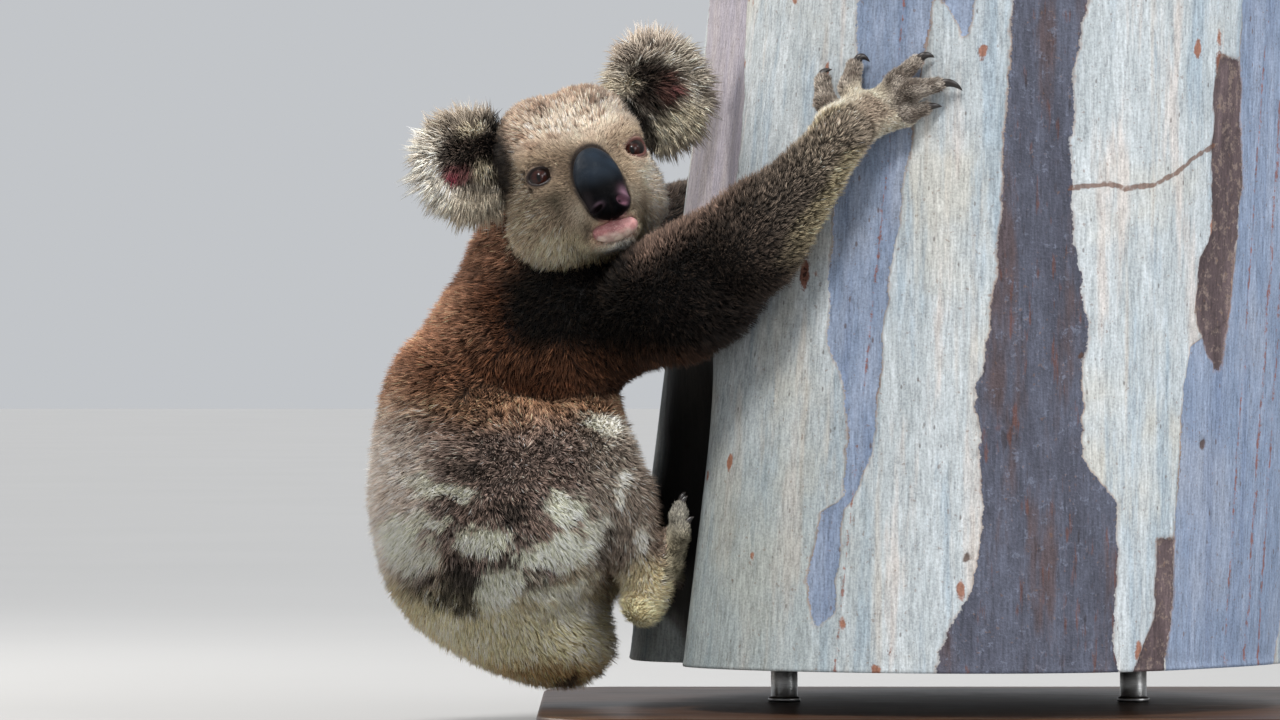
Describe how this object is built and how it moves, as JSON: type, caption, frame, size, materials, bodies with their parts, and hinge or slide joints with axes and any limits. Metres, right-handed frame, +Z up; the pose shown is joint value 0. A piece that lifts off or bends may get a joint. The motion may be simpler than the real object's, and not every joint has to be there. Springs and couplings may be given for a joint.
{
  "type": "koala",
  "caption": "Life-size still model of a koala clinging to a short length of smooth gum trunk, with its head turned outwards, on a flat display base with short rods.",
  "frame": {"origin": "centre of the underside of the flat base, on the floor", "axes": "+Z up along the trunk; the animal clings to the trunk's -X side and its face looks towards -Y; +X runs from the animal to the trunk"},
  "size_m": [0.8683, 0.5849, 0.631],
  "materials": {
    "fur": "dense woolly fur, rusty brown over the shoulders, grey-brown and cream blotches over the rump",
    "ear_fur": "long pale fringe over grey-brown fur, pinkish bare skin inside",
    "nose": "smooth black leathery nose pad with a soft sheen",
    "lip": "moist pink lower lip",
    "eye": "glossy dark brown eye",
    "claw": "black-brown curved horn",
    "bark": "smooth pale gum bark with blue-grey and purple-brown patches, cut wood at both ends",
    "base_timber": "dark satin-finished timber",
    "rod_steel": "brushed steel"
  },
  "bodies": {
    "root": {"stand_base": "base_timber", "stand_rod_a": "rod_steel", "stand_rod_b": "rod_steel", "perch_trunk": "bark", "head": "fur", "nose_pad": "nose", "lower_lip": "lip", "eye_r": "eye", "eye_l": "eye", "ear_r": "ear_fur", "ear_l": "ear_fur", "neck": "fur", "thorax": "fur", "rump": "fur", "upperarm_r": "fur", "forearm_r": "fur", "thigh_r": "fur", "shank_r": "fur", "hand_r": "fur", "foot_r": "fur", "upperarm_l": "fur", "forearm_l": "fur", "thigh_l": "fur", "shank_l": "fur", "hand_l": "fur", "foot_l": "fur", "claw_foot_r2": "claw", "claw_foot_r3": "claw", "claw_foot_r4": "claw", "claw_foot_r5": "claw", "claw_foot_l2": "claw", "claw_foot_l3": "claw", "claw_foot_l4": "claw", "claw_foot_l5": "claw", "claw_hand_r1": "claw", "claw_hand_r2": "claw", "claw_hand_r3": "claw", "claw_hand_r4": "claw", "claw_hand_r5": "claw", "claw_hand_l1": "claw", "claw_hand_l2": "claw", "claw_hand_l3": "claw", "claw_hand_l4": "claw", "claw_hand_l5": "claw"}
  },
  "joints": []
}
